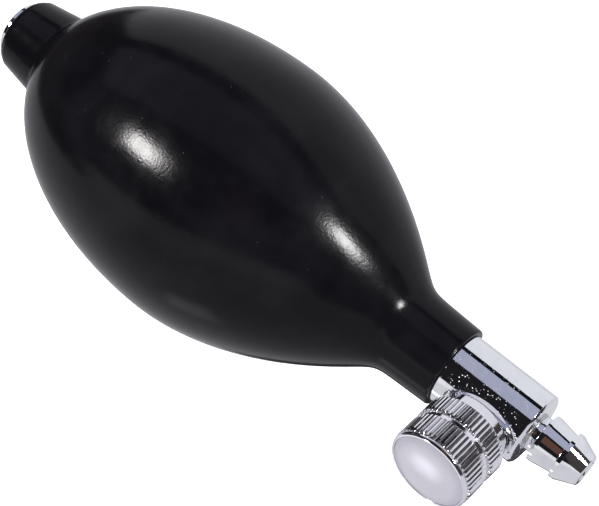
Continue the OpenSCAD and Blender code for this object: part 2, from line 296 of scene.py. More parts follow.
@dataclass(frozen=True)
class PolishedRubber(Finish):
    """Moulded black rubber: glossy, with orange peel, a faint bloom and a little dust."""

    bloom: Colour = (0.0052, 0.0050, 0.0064)
    bloom_size: float = 9.0
    rub_size: float = 2.2
    dust: Colour = (0.09, 0.085, 0.09)
    dust_spacing: float = 2.1
    dust_grain: Point = (0.045, 0.02)
    dust_drift: float = 5.0
    peel_size: float = 0.44
    peel_depth: float = 0.013
    wave_size: float = 7.0
    wave_depth: float = 0.012
    roughness: float = 0.145
    gloss: float = 0.12

    def write(self, book: ShaderBook) -> None:
        """Writes the rubber's shader."""
        cloud = book.noise(self.bloom_size, 4.0).ramp(0.35, 0.75)
        rubbed = book.noise(self.rub_size, 5.0).ramp(0.4, 0.8)
        drift = book.noise(self.dust_drift).ramp(0.5, 0.6)
        specks = book.cells(self.dust_spacing).ramp(*self.dust_grain) * drift
        colour = book.mix(cloud, self.colour, self.bloom)
        waves = book.bump(book.noise(self.wave_size, 1.0), self.wave_depth)
        book.surface(
            Base_Color=book.mix(specks, colour, self.dust),
            Roughness=self.roughness + 0.03 * cloud + 0.05 * rubbed + 0.3 * specks,
            Normal=book.bump(book.noise(self.peel_size, 1.0), self.peel_depth, waves),
            Specular_IOR_Level=self.gloss,
        )


@dataclass(frozen=True)
class ChromePlate(Finish):
    """Bright chrome plate with fine specks and rub marks, and with painted shade down its knurl's
    valleys.
    """

    smudge: Colour = (0.68, 0.69, 0.74)
    smudge_size: float = 2.6
    # The colour painted into the knurl's valleys as shade, and how far below the crests it starts.
    valley_shade: Colour = (0.07, 0.065, 0.075)
    valley_shade_below: float = 0.12
    wear_below: float = 0.05
    speckled: float = 0.0
    speck_spacing: float = 0.42
    speck_grain: Point = (0.27, 0.15)
    speck_drift: float = 1.7
    speck_depth: float = 0.004
    bands: tuple[Point, ...] = ()
    band_edge: float = 0.2
    valley: float = 0.0
    crest: float = 0.0
    wave_size: float = 1.9
    wave_depth: float = 0.005
    ring_size: float = 0.5
    ring_stretch: Triple = (0.15, 0.15, 6.0)
    ring_depth: float = 0.0002
    roughness: float = 0.045

    def write(self, book: ShaderBook) -> None:
        """Writes the chrome's shader."""
        marks = book.noise(self.smudge_size, 5.0).ramp(0.45, 0.75)
        drift = book.noise(self.speck_drift, 3.0).ramp(0.43, 0.58)
        specks = book.cells(self.speck_spacing).ramp(*self.speck_grain) * drift * self.speckled
        colour = book.mix(marks * 0.4, self.colour, self.smudge)
        roughness = self.roughness + 0.03 * marks + 0.4 * specks
        if self.bands:
            height, radius, edge = book.coordinate("Z"), book.radius(), self.band_edge
            banded = sum((height.ramp(low, low + edge) * height.ramp(high, high - edge)
                          for low, high in self.bands), 0.0)
            # Painted shade: the knurl's valleys are darkened towards this colour and made a little
            # rougher.
            valley_shade = radius.ramp(self.crest - self.valley_shade_below, self.valley) * banded
            wear = radius.ramp(self.crest - self.wear_below, self.crest) * marks
            colour = book.mix(valley_shade * 0.9, colour, self.valley_shade)
            roughness = roughness + 0.25 * valley_shade + 0.1 * wear
        rings = book.bump(book.noise(self.ring_size, 2.0, self.ring_stretch), self.ring_depth)
        waves = book.bump(book.noise(self.wave_size, 2.0), self.wave_depth, rings)
        book.surface(
            Base_Color=colour, Metallic=1.0, Roughness=roughness,
            Normal=book.bump(specks, self.speck_depth, waves),
        )


@dataclass(frozen=True)
class SatinCap(Finish):
    """Pearl silver cap, faced on the lathe, with a soft sheen across its rings and a rim painted
    darker as shade.
    """

    # The colour the cap fades to: painted shade towards the rim, with some random mottle.
    rim_shade_and_mottle: Colour = (0.60, 0.585, 0.65)
    rim: Point = (4.6, 6.7)
    cloud_size: float = 5.0
    grain_size: float = 0.12
    grain_depth: float = 0.003

    def write(self, book: ShaderBook) -> None:
        """Writes the cap's shader."""
        cloud = book.noise(self.cloud_size, 1.0)
        # Painted shade: the cap darkens towards its rim, with a little random mottle mixed in.
        rim = book.radius().ramp(*self.rim)
        book.surface(
            Base_Color=book.mix(rim * 0.7 + cloud * 0.2, self.colour, self.rim_shade_and_mottle),
            Metallic=0.9,
            Roughness=0.25 + 0.03 * cloud,
            Anisotropic=0.5,
            Normal=book.bump(book.noise(self.grain_size, 2.0), self.grain_depth),
        )


@dataclass(frozen=True)
class TurnedMetal(Finish):
    """Turned or ground metal with fine rings, stains and duller patches."""

    stain: Colour = (0.30, 0.20, 0.10)
    stain_size: float = 1.8
    grain_size: float = 0.3
    grain_depth: float = 0.004
    roughness: float = 0.25

    def write(self, book: ShaderBook) -> None:
        """Writes the metal's shader."""
        stains = book.noise(self.stain_size, 5.0).ramp(0.5, 0.8)
        grain = book.noise(self.grain_size, 3.0)
        book.surface(
            Base_Color=book.mix(stains * 0.7, self.colour, self.stain),
            Metallic=1.0,
            Roughness=self.roughness + 0.15 * stains + 0.05 * grain,
            Normal=book.bump(grain, self.grain_depth),
        )


@dataclass(frozen=True)
class SinteredMetal(Finish):
    """Sintered bronze: small fused balls, with the pores between them painted dark as shade."""

    # The dark colour painted into the pores as shade.
    pore_shade: Colour = (0.035, 0.025, 0.016)
    pore_depth: float = 0.09
    ball: float = 0.32
    stain_size: float = 1.5

    def write(self, book: ShaderBook) -> None:
        """Writes the sintered metal's shader."""
        balls = book.cells(self.ball).ramp(0.75, 0.1)
        stains = book.noise(self.stain_size, 4.0)
        # Painted shade: the hollows between the balls are darkened.
        book.surface(
            Base_Color=book.mix(1 - balls, self.colour, self.pore_shade),
            Metallic=0.85,
            Roughness=0.62 - 0.18 * balls + 0.1 * stains,
            Normal=book.bump(balls, self.pore_depth),
        )


@dataclass(frozen=True)
class MouldedStuff(Finish):
    """Nylon, vulcanised fibre or nitrile: a mottled colour with a fine tooth."""

    mottle: Colour = (0.5, 0.5, 0.5)
    mottle_size: float = 1.2
    tooth: float = 0.2
    tooth_depth: float = 0.01
    roughness: float = 0.5

    def write(self, book: ShaderBook) -> None:
        """Writes the material's shader."""
        cloud = book.noise(self.mottle_size, 4.0).ramp(0.3, 0.75)
        tooth = book.noise(self.tooth, 3.0)
        book.surface(
            Base_Color=book.mix(cloud, self.colour, self.mottle),
            Roughness=self.roughness + 0.15 * tooth,
            Normal=book.bump(tooth, self.tooth_depth),
        )


@dataclass(frozen=True)
class StudioTop(Finish):
    """The studio's white table top, faintly glossy and lit a little from inside."""

    shade: float = 0.985
    shade_size: float = 60.0
    tooth: float = 4.0
    tooth_depth: float = 0.002
    glow: float = 0.4

    def write(self, book: ShaderBook) -> None:
        """Writes the table's shader."""
        cloud = book.noise(self.shade_size, 3.0)
        shaded = tuple(self.shade * part for part in self.colour)
        book.surface(
            Base_Color=book.mix(cloud, self.colour, shaded),
            Roughness=0.24 + 0.05 * cloud,
            Normal=book.bump(book.noise(self.tooth, 2.0), self.tooth_depth),
            Emission_Color=(1, 1, 1, 1),
            Emission_Strength=self.glow,
        )


class Finishes:
    """Every finish of the object, by the thing it's on."""

    RUBBER = PolishedRubber("rubber_black_polished", Slot.RUBBER, (0.0026, 0.0024, 0.0034))
    BODY = ChromePlate("chrome_valve_body", Slot.CHROME, (0.86, 0.87, 0.90), speckled=1.0)
    KNOB = ChromePlate("chrome_knurled", Slot.CHROME, (0.84, 0.83, 0.88), speckled=0.2,
                       bands=((8.5, 12.3), (13.0, 17.8)), valley=7.0, crest=7.35,
                       roughness=0.07)
    TAIL = ChromePlate("chrome_hose_tail", Slot.CHROME, (0.86, 0.87, 0.90), speckled=0.3)
    PLUG = ChromePlate("chrome_inlet_plug", Slot.CHROME, (0.82, 0.83, 0.86), speckled=0.3)
    CAP = SatinCap("pearl_silver_cap", Slot.PEARL, (0.78, 0.765, 0.82))
    BRASS = TurnedMetal("brass_turned", Slot.BRASS, (0.72, 0.55, 0.27))
    STEEL = TurnedMetal("steel_ground", Slot.STEEL, (0.56, 0.57, 0.58),
                        stain=(0.24, 0.22, 0.20), grain_depth=0.002, roughness=0.18)
    BRONZE = SinteredMetal("bronze_sintered", Slot.BRONZE, (0.44, 0.30, 0.15))
    NYLON = MouldedStuff("nylon_machined", Slot.NYLON, (0.78, 0.76, 0.70),
                         mottle=(0.70, 0.67, 0.60))
    FIBRE = MouldedStuff("fibre_red", Slot.FIBRE, (0.30, 0.07, 0.05),
                         mottle=(0.22, 0.05, 0.035), tooth=0.12, roughness=0.6)
    NITRILE = MouldedStuff("nitrile_black", Slot.NITRILE, (0.02, 0.02, 0.02),
                           mottle=(0.032, 0.031, 0.033), roughness=0.45)


# ---- turned meshes ----


@dataclass(frozen=True)
class Corner:
    """One corner of a turned outline, in millimetres, with the radius that rounds it off."""

    height: float
    radius: float
    rounding: float = 0.0


def rounded(corners: Sequence[Corner], closed: bool, steps: int = 6) -> list[Point]:
    """Rounds an outline's corners.

    Args:
        corners: the outline, in order.
        closed: whether its last corner joins its first.
        steps: how many straight pieces a rounding has.

    Returns:
        The outline's points.
    """
    points: list[Point] = []
    for index, corner in enumerate(corners):
        here = Vector((corner.height, corner.radius))
        if not corner.rounding or (not closed and index in (0, len(corners) - 1)):
            points.append(tuple(here))
            continue
        last, following = corners[index - 1], corners[(index + 1) % len(corners)]
        back = Vector((last.height, last.radius)) - here
        ahead = Vector((following.height, following.radius)) - here
        half = back.angle(ahead) / 2
        reach = min(corner.rounding / math.tan(half), 0.48 * back.length, 0.48 * ahead.length)
        middle = (back.normalized() + ahead.normalized()).normalized()
        centre = here + middle * (reach / math.cos(half))
        first = here + back.normalized() * reach - centre
        final = here + ahead.normalized() * reach - centre
        start = math.atan2(first.y, first.x)
        turn = (math.atan2(final.y, final.x) - start + math.pi) % (2 * math.pi) - math.pi
        for step in range(steps + 1):
            angle = start + turn * step / steps
            points.append((centre.x + first.length * math.cos(angle),
                           centre.y + first.length * math.sin(angle)))
    return points


def turned_mesh(name: str, outline: Sequence[Point], closed: bool, segments: int = 192,
                relief: Relief | None = None) -> Mesh:
    """Turns an outline about local Z.

    Args:
        name: the mesh's name.
        outline: height and radius of each point, outwards on the way up.
        closed: whether the last point joins the first.
        segments: how many faces go round.
        relief: gives the radius at a height, a radius and an angle, for a knurl.

    Returns:
        The mesh, smooth shaded, in metres.
    """
    vertices: list[tuple[float, float, float]] = []
    rings: list[list[int]] = []
    angles = [2 * math.pi * step / segments for step in range(segments)]
    for height, radius in outline:
        start = len(vertices)
        if radius < TINY:
            vertices.append((0.0, 0.0, height * MM))
            rings.append([start] * segments)
            continue
        for angle in angles:
            reach = (relief(height, radius, angle) if relief else radius) * MM
            vertices.append((reach * math.cos(angle), reach * math.sin(angle), height * MM))
        rings.append(list(range(start, start + segments)))
    faces = []
    for low, high in zip(rings, rings[1:] + (rings[:1] if closed else [])):
        for step in range(segments):
            following = (step + 1) % segments
            loop = (low[step], low[following], high[following], high[step])
            faces.append(tuple(dict.fromkeys(loop)))
    mesh = bpy.data.meshes.new(name)
    mesh.from_pydata(vertices, [], faces)
    mesh.validate()
    mesh.shade_smooth()
    return mesh


@dataclass(frozen=True)
class Axes:
    """The two axes that pieces are placed on, as matrices from a piece's own axes."""

    bulb: Matrix
    screw: Matrix

    @classmethod
    def from_record(cls, record: dict, screw_from_middle: float) -> "Axes":
        """Reads both axes from the frame's record.

        Args:
            record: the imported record.
            screw_from_middle: distance from the bulb's widest section to the screw's axis.

        Returns:
            The axes.
        """
        joints = {joint["name"]: joint for joint in record["behaviour"]["joints"]}
        turn = joints["screw_turn"]
        forward = Vector(record["mounts"][0]["axis"]).normalized()
        outward = Vector(turn["axis"]).normalized()
        upward = outward.cross(forward)
        crossing = Vector(turn["pos_m"])
        middle = crossing - forward * screw_from_middle * MM
        return cls(cls._matrix(-upward, -outward, forward, middle),
                   cls._matrix(forward, upward, outward, crossing))

    @staticmethod
    def _matrix(x: Vector, y: Vector, z: Vector, origin: Vector) -> Matrix:
        """A matrix with these columns."""
        turn = Matrix((x, y, z)).transposed().to_4x4()
        return Matrix.Translation(origin) @ turn


def linked(name: str, data: ID) -> Object:
    """A new object in the scene that holds this data."""
    item = bpy.data.objects.new(name, data)
    bpy.context.scene.collection.objects.link(item)
    return item


@dataclass
class Piece:
    """One shown piece, named like its mesh: where it goes and what it stands for."""

    shown: ClassVar[list[Object]] = []
    mesh: Mesh
    matrix: Matrix
    body: Body
    finish: Finish
    node: str
    crisp: bool = True

    def build(self) -> Object:
        """Adds the piece to the scene.

        Returns:
            The piece, riding on its body in place of its CAD node.
        """
        piece = linked(self.mesh.name, self.mesh)
        piece.matrix_world = self.matrix
        self.mesh.materials.clear()
        self.mesh.materials.append(self.finish.material())
        if self.crisp:
            self.mesh.set_sharp_from_angle(angle=SHARP_ANGLE)
            piece.modifiers.new("flat_faces", "WEIGHTED_NORMAL").keep_sharp = True
        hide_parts(self.node)
        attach(piece, self.body.value)
        self.shown.append(piece)
        self.report(piece)
        return piece

    def report(self, piece: Object) -> None:
        """Logs how far the piece's box is from its CAD node's box."""
        low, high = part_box(self.node)
        corners = [piece.matrix_world @ vertex.co for vertex in self.mesh.vertices]
        off = max(max(abs(min(c[axis] for c in corners) - low[axis]),
                      abs(max(c[axis] for c in corners) - high[axis])) for axis in range(3))
        log.info("%s: %d faces, box within %.3f mm of %s", piece.name,
                 len(self.mesh.polygons), off / MM, self.node)


# ---- the rubber bulb ----


@dataclass
class RubberBulb:
    """The hollow rubber bulb with its two necks, in millimetres from its widest section."""

    axes: Axes
    widest: float = 25.0
    wall: float = 2.6
    rear_pole: float = 41.7
    rear_power: float = 2.07
    rear_root: float = 0.5
    front_pole: float = 47.1
    front_power: float = 1.91
    front_root: float = 0.96
    rear_end: float = -49.0
    rear_neck: Point = (6.75, 7.95)
    rear_bore: float = 4.4
    front_rim: float = 50.0
    front_neck: Point = (7.4, 8.4)
    front_bore: float = 5.0
    end_round: float = 1.3
    rim_round: float = 0.35
    bore_round: float = 0.2
    bore_lead: float = 1.0
    rear_crease: float = 0.25
    front_crease: float = 0.7
    bore_crease: float = 0.5
    steps: int = 190
    crowding: float = 0.09
    end_steps: int = 9
    rim_steps: int = 6
    segments: int = 288

    def dome(self, x: float, inset: float) -> float:
        """Radius of the dome at x, or of its lining.

        Args:
            x: distance from the widest section.
            inset: how far inside the outer skin.

        Returns:
            The radius.
        """
        rear = x < 0
        pole = (self.rear_pole if rear else self.front_pole) - inset
        power = self.rear_power if rear else self.front_power
        root = self.rear_root if rear else self.front_root
        return (self.widest - inset) * (1 - min(abs(x) / pole, 1) ** power) ** root

    def neck(self, x: float) -> float:
        """Radius of the tapered neck at x."""
        if x < 0:
            end, start = self.rear_neck
            return end + (start - end) * (x - self.rear_end) / (-self.rear_pole - self.rear_end)
        end, start = self.front_neck
        return end + (start - end) * (self.front_rim - x) / (
            self.front_rim - self.front_pole + self.widest)

    @staticmethod
    def blend(one: float, other: float, soft: float) -> float:
        """The larger of two radii, with a hollow fillet where they meet."""
        return max(one, other) + soft * math.log(1 + math.exp(-abs(one - other) / soft))

    def skin(self, x: float) -> float:
        """Outer radius at x."""
        crease = self.rear_crease if x < 0 else self.front_crease
        return self.blend(self.dome(x, 0), self.neck(x), crease)

    def lining(self, x: float) -> float:
        """Inner radius at x."""
        bore = self.rear_bore if x < 0 else self.front_bore
        return self.blend(self.dome(x, self.wall), bore, self.bore_crease)

    def lip(self, x: float, size: float, degrees: Sequence[float]) -> list[Point]:
        """The rounding of one end of the skin.

        Args:
            x: where the rounding's centre is along the axis.
            size: its radius.
            degrees: its angles from forwards.

        Returns:
            Its points.
        """
        top = self.skin(self.rear_end if x < 0 else self.front_rim)
        angles = [math.radians(degree) for degree in degrees]
        return [(x + size * math.cos(angle), top - size * (1 - math.sin(angle)))
                for angle in angles]

    def outline(self) -> list[Point]:
        """The closed outline: the skin forwards, then the bore and the cavity back."""
        first, last = self.rear_end + self.end_round, self.front_rim - self.rim_round
        points = self.lip(first, self.end_round,
                          [180 - 90 * step / self.end_steps for step in range(self.end_steps)])
        # Stations crowd together towards both ends of the skin, where it bends most.
        for step in range(self.steps + 1):
            share = step / self.steps
            shift = self.crowding * math.sin(4 * math.pi * share) / math.pi
            x = first + (last - first) * (share - shift)
            points.append((x, self.skin(x)))
        points += self.lip(last, self.rim_round, [
            90 - 90 * step / self.rim_steps for step in range(1, self.rim_steps + 1)])
        points += rounded([Corner(self.front_rim, self.front_neck[0]),
                           Corner(self.front_rim, self.front_bore, self.bore_round),
                           Corner(self.front_pole, self.front_bore)], False, 3)[1:]
        front, rear = self.front_pole - self.wall, -(self.rear_pole - self.wall)
        inner_steps = self.steps // 2
        for step in range(inner_steps + 1):
            x = front + (rear - front) * step / inner_steps
            points.append((x, self.lining(x)))
        mouth = self.rear_neck[0] - self.end_round
        points += rounded([Corner(rear - self.bore_lead, self.rear_bore),
                           Corner(self.rear_end, self.rear_bore, self.bore_round),
                           Corner(self.rear_end, mouth)], False, 3)[:-1]
        return points

    def build(self) -> None:
        """Builds the bulb."""
        mesh = turned_mesh("bulb_rubber", self.outline(), True, self.segments)
        Piece(mesh, self.axes.bulb, Body.BULB, Finishes.RUBBER, "bulb", crisp=False).build()


# ---- the inlet valve in the rear neck ----


@dataclass
class InletValve:
    """The chromed plug in the rear neck, with its filter disc and retaining ring."""

    axes: Axes
    outside: float = -49.9
    flange_inside: float = -49.0
    flange: float = 5.4
    flange_edge: float = 0.25
    barrel: float = 4.4
    bite: float = 0.2
    barbs: int = 3
    inside: float = -38.3173
    recess: float = 3.5
    floor: float = -48.3
    port: float = 1.5
    seat: float = -45.7
    chamber: float = 2.6713
    cage_face: float = -40.7173
    cage_pocket: float = 3.1213
    disc: float = 3.47
    disc_thickness: float = 0.6
    ring_width: float = 0.77

    def plug_corners(self) -> list[Corner]:
        """The plug's closed outline."""
        step = (self.inside - self.flange_inside) / (self.barbs + 1)
        corners = [Corner(self.outside, self.recess, 0.12),
                   Corner(self.outside, self.flange, self.flange_edge),
                   Corner(self.flange_inside, self.flange),
                   Corner(self.flange_inside, self.barrel)]
        for barb in range(1, self.barbs + 1):
            start = self.flange_inside + barb * step - step / 4
            corners += [Corner(start, self.barrel), Corner(start, self.barrel + self.bite),
                        Corner(start + step / 2, self.barrel)]
        return corners + [
            Corner(self.inside, self.barrel, 0.15), Corner(self.inside, self.cage_pocket, 0.1),
            Corner(self.cage_face, self.cage_pocket), Corner(self.cage_face, self.chamber),
            Corner(self.seat + self.chamber - self.port, self.chamber),
            Corner(self.seat, self.port), Corner(self.floor, self.port),
            Corner(self.floor, self.recess),
        ]

    def build(self) -> None:
        """Builds the plug, the filter and the ring."""
        plug = turned_mesh("inlet_plug_turned", rounded(self.plug_corners(), True), True)
        Piece(plug, self.axes.bulb, Body.BULB, Finishes.PLUG, "inlet_plug").build()
        top = self.floor - self.disc_thickness
        disc = turned_mesh("inlet_filter_disc", rounded(
            [Corner(top, 0), Corner(top, self.disc / 2), Corner(top, self.disc, 0.08),
             Corner(self.floor, self.disc, 0.08), Corner(self.floor, 0)], False), False, 96)
        Piece(disc, self.axes.bulb, Body.BULB, Finishes.BRONZE, "inlet_filter").build()
        inner, front = self.disc - self.ring_width, top - self.disc_thickness
        ring = turned_mesh("inlet_retaining_ring", rounded(
            [Corner(front, inner, 0.12), Corner(front, self.disc, 0.1), Corner(top, self.disc),
             Corner(top, inner, 0.06)], True), True)
        Piece(ring, self.axes.bulb, Body.BULB, Finishes.STEEL, "inlet_ring").build()


# ---- the valve body ----


@dataclass
class ValveBody:
    """The turned and chromed body, drilled across for the release screw."""

    axes: Axes
    rear: float = 50.0
    front: float = 66.4
    outside: float = 6.5
    chamfer: float = 0.4
    bevel: float = 0.09
    nipple_bore: float = 4.23
    nipple_depth: float = 5.2
    passage: float = 1.5
    tail_bore: float = 2.93
    tail_from: float = 61.8
    orifice: float = 0.7
    seat_floor: float = 1.8
    seat_bore: float = 2.13
    gland_from: float = 3.9
    gland_bore: float = 3.03
    spot_face: float = 5.9
    spot_radius: float = 6.65
    vent: float = 0.5
    vent_at: float = 3.35
    clear: float = 8.0
    gasket: Point = (2.93, 3.35)
    gasket_thickness: float = 0.35

    def shell(self) -> Mesh:
        """The body as turned, before it's drilled across."""
        bevel = self.bevel
        corners = [
            Corner(self.rear, self.nipple_bore, bevel),
            Corner(self.rear, self.outside - self.chamfer / 2, bevel / 2),
            Corner(self.rear + self.chamfer / 2, self.outside, bevel),
            Corner(self.front - self.chamfer, self.outside, bevel),
            Corner(self.front, self.outside - self.chamfer, bevel),
            Corner(self.front, self.tail_bore, bevel), Corner(self.tail_from, self.tail_bore),
            Corner(self.tail_from, self.passage),
            Corner(self.rear + self.nipple_depth, self.passage),
            Corner(self.rear + self.nipple_depth, self.nipple_bore),
        ]
        return turned_mesh("valve_body_turned", rounded(corners, True), True, 256)

    def cutters(self) -> list[tuple[Mesh, Matrix]]:
        """The drills for the release screw and the bleed vent, each with its place."""
        across = [
            Corner(0, 0), Corner(0, self.orifice), Corner(self.seat_floor, self.orifice),
            Corner(self.seat_floor, self.seat_bore), Corner(self.gland_from, self.seat_bore),
            Corner(self.gland_from, self.gland_bore), Corner(self.spot_face, self.gland_bore),
            Corner(self.spot_face, self.spot_radius), Corner(self.clear, self.spot_radius),
            Corner(self.clear, 0),
        ]
        vent = [Corner(0, 0), Corner(0, self.vent), Corner(self.clear, self.vent),
                Corner(self.clear, 0)]
        lift = Matrix.Translation((0, 0, self.vent_at * MM))
        down = self.axes.screw @ (lift @ Matrix.Rotation(math.pi / 2, 4, "X"))
        return [(turned_mesh("cut_across", rounded(across, False), False, 144), self.axes.screw),
                (turned_mesh("cut_vent", rounded(vent, False), False, 48), down)]

    def drilled(self) -> Mesh:
        """The body with both cross holes and the flat that the knob sinks into."""
        body = linked("valve_body_blank", self.shell())
        temporary = [body]
        for mesh, matrix in self.cutters():
            tool = linked(mesh.name, mesh)
            tool.matrix_world = self.axes.bulb.inverted() @ matrix
            cut = body.modifiers.new(mesh.name, "BOOLEAN")
            cut.operation, cut.object, cut.solver = "DIFFERENCE", tool, "EXACT"
            temporary.append(tool)
        # The cut is worked out in millimetres, where it keeps more digits.
        for item in temporary:
            item.data.transform(Matrix.Scale(1 / MM, 4))
            turn = item.matrix_world.to_3x3().to_4x4()
            item.matrix_world = Matrix.Translation(item.matrix_world.translation / MM) @ turn
        bpy.context.view_layer.update()
        evaluated = body.evaluated_get(bpy.context.evaluated_depsgraph_get())
        mesh = bpy.data.meshes.new_from_object(evaluated)
        mesh.transform(Matrix.Scale(MM, 4))
        mesh.name = "valve_body_chromed"
        for item in temporary:
            bpy.data.objects.remove(item)
        mesh.shade_smooth()
        return mesh

    def build(self) -> None:
        """Builds the body and the gasket under the hose tail."""
        body = self.drilled()
        Piece(body, self.axes.bulb, Body.BULB, Finishes.BODY, "valve_body").build()
        (inner, outer), top = self.gasket, self.front + self.gasket_thickness
        gasket = turned_mesh("tail_gasket_ring", rounded(
            [Corner(self.front, inner), Corner(self.front, outer, 0.05),
             Corner(top, outer, 0.12), Corner(top, inner)], True), True)
        Piece(gasket, self.axes.bulb, Body.BULB, Finishes.STEEL, "tail_gasket").build()


# ---- the thumb knob ----


@dataclass
class ThumbKnob:
    """The knurled knob and its domed cap, along the release screw's axis."""

    axes: Axes
    rear: float = 6.15
    collar: float = 6.35
    collar_edge: float = 0.4
    rear_band: float = 8.5
    groove: float = 12.3
    front_band: float = 13.0
    rim: float = 17.8
    end: float = 18.4
    crest: float = 7.35
    valley: float = 7.0
    core: float = 6.9
    bevel: Point = (7.23, 7.03)
    ribs: int = 52
    samples: int = 12
    valley_share: float = 0.06
    flank_share: float = 0.5
    rib_end: float = 0.3
    rib_bow: float = 0.8
    rim_gap: float = 0.02
    rim_land: float = 0.25
    hollow: float = 4.5
    web: float = 12.2
    spindle: float = 1.33
    screw_seat: float = 16.1
    screw_pocket: float = 2.5
    cap_seat: float = 17.4
    cap_bore: float = 6.7
    cap: float = 6.67
    cap_edge: float = 18.3
    cap_top: float = 19.1
    cap_round: float = 0.16
    round_steps: int = 6
    dome_steps: int = 28

    def rib(self, angle: float) -> float:
        """Radius of the ribs alone at an angle: flats on the crests and narrow valleys."""
        phase = (angle * self.ribs / (2 * math.pi)) % 1
        wave = abs(2 * phase - 1)
        share = min(max((wave - self.valley_share) / self.flank_share, 0), 1)
        return self.valley + (self.crest - self.valley) * share * share * (3 - 2 * share)

    def relief(self, height: float, radius: float, angle: float) -> float:
        """Cuts the ribs into the two bands.

        Args:
            height: along the axis.
            radius: the turned radius there.
            angle: round the axis.

        Returns:
            The radius with the ribs.
        """
        banded = (self.rear_band < height < self.groove
                  or self.front_band < height < self.rim - self.rim_gap)
        return min(radius, self.rib(angle)) if banded else radius

    def band(self, start: float, end: float) -> list[Corner]:
        """One ribbed band, with its rib ends chamfered in steps.

        Args:
            start: where the band starts.
            end: where it ends.

        Returns:
            The band's corners.
        """
        rise = self.crest - self.core
        up = [Corner(start + self.rib_end * share, self.core + rise * share ** self.rib_bow)
              for share in (0.03, 0.2, 0.4, 0.6, 0.8, 1.0)]
        length = end - start
        middle = [Corner(start + length * share, self.crest) for share in (0.25, 0.5, 0.75)]
        down = [Corner(start + end - corner.height, corner.radius) for corner in reversed(up)]
        return up + middle + down

    def corners(self) -> list[Corner]:
        """The knob's closed outline."""
        edge, (bevel_low, bevel_high) = self.collar_edge, self.bevel
        return [
            Corner(self.rear, self.hollow, 0.12), Corner(self.rear, self.collar - edge, 0.1),
            Corner(self.rear + edge, self.collar, 0.1),
            Corner(self.rear_band - edge, self.collar, 0.12), Corner(self.rear_band, self.core),
            *self.band(self.rear_band, self.groove),
            Corner(self.groove, self.core), Corner(self.front_band, self.core),
            *self.band(self.front_band, self.rim - self.rim_gap),
            Corner(self.rim, bevel_low, 0.05), Corner(self.rim + self.rim_land, bevel_low, 0.08),
            Corner(self.end, bevel_high, 0.12),
            Corner(self.end, self.cap_bore, 0.05), Corner(self.cap_seat, self.cap_bore),
            Corner(self.cap_seat, self.screw_pocket), Corner(self.screw_seat, self.screw_pocket),
            Corner(self.screw_seat, self.spindle), Corner(self.web, self.spindle),
            Corner(self.web, self.hollow),
        ]

    def cap_outline(self) -> list[Point]:
        """The cap's outline: a flat seat, a rounded edge and a dome."""
        rise = self.cap_top - self.cap_edge
        sphere = (self.cap ** 2 + rise ** 2) / (2 * rise)
        points = [(self.cap_seat, 0), (self.cap_seat, self.cap * 0.5), (self.cap_seat, self.cap)]
        edge, centre = self.cap_round, self.cap_top - sphere
        half = math.asin((self.cap - edge) / sphere)
        low = centre + sphere * math.cos(half)
        for step in range(self.round_steps + 1):
            angle = math.radians(90) * step / self.round_steps
            points.append((low - edge + edge * math.sin(angle),
                           self.cap - edge + edge * math.cos(angle)))
        for step in range(1, self.dome_steps):
            angle = half * (1 - step / self.dome_steps)
            points.append((centre + sphere * math.cos(angle), sphere * math.sin(angle)))
        return points + [(self.cap_top, 0)]

    def build(self) -> None:
        """Builds the knob and its cap."""
        knob = turned_mesh("thumb_knob_knurled", rounded(self.corners(), True, 4), True,
                           self.ribs * self.samples, self.relief)
        Piece(knob, self.axes.screw, Body.SCREW, Finishes.KNOB, "thumb_knob").build()
        cap = turned_mesh("knob_cap_domed", self.cap_outline(), False)
        Piece(cap, self.axes.screw, Body.SCREW, Finishes.CAP, "knob_cap").build()


# ---- the hose tail ----


@dataclass
class HoseTail:
    """The chromed tail with two barbs that a hose is pushed over."""

    axes: Axes
    thread_from: float = 62.0
    thread: float = 2.9
    face: float = 66.75
    root: float = 3.2
    barbs: Point = (67.95, 72.35)
    crest: float = 4.25
    foot: float = 3.65
    land: float = 0.8
    edge: float = 0.1
    tip: float = 76.65
    tip_radius: float = 2.75
    tip_round: float = 0.4
    bore: float = 1.4
    mouth: float = 0.4

    def corners(self) -> list[Corner]:
        """The tail's closed outline."""
        first, second = self.barbs
        return [
            Corner(self.thread_from, self.bore, 0.1), Corner(self.thread_from, self.thread, 0.2),
            Corner(self.face, self.thread), Corner(self.face, self.root, 0.08),
            Corner(first, self.root, 0.15), Corner(first, self.crest, self.edge),
            Corner(first + self.land, self.crest, 0.12), Corner(second, self.foot, 0.08),
            Corner(second, self.crest, self.edge), Corner(second + self.land, self.crest, 0.12),
            Corner(self.tip, self.tip_radius, self.tip_round),
            Corner(self.tip, self.bore + self.mouth, 0.1),
            Corner(self.tip - self.mouth, self.bore, 0.1),
        ]

    def build(self) -> None:
        """Builds the tail."""
        mesh = turned_mesh("hose_tail_barbed", rounded(self.corners(), True), True)
        Piece(mesh, self.axes.bulb, Body.BULB, Finishes.TAIL, "hose_tail").build()


# ---- the inner works ----


class HiddenWorks:
    """The inner pieces that keep their CAD shape, each with its own finish."""

    finishes: ClassVar[dict[str, Finish]] = {
        "inlet_ball": Finishes.STEEL, "inlet_cage": Finishes.BRASS,
        "check_nipple": Finishes.BRASS, "outlet_strainer": Finishes.BRONZE,
        "outlet_ball": Finishes.STEEL, "outlet_cage": Finishes.BRASS,
        "needle_seat": Finishes.NYLON, "gland_gasket": Finishes.FIBRE,
        "gland_nut": Finishes.BRASS, "needle_screw": Finishes.STEEL,
        "spindle_o_ring": Finishes.NITRILE, "knob_screw": Finishes.STEEL,
    }

    def build(self) -> None:
        """Dresses each inner piece."""
        for name, finish in self.finishes.items():
            node = frame["nodes"][name]
            if not node.material_slots:
                node.data.materials.append(None)
            for slot in node.material_slots:
                slot.material = finish.material()
            Piece.shown.append(node)
            log.info("%s: dressed in %s", name, finish.name)


# ---- the studio ----


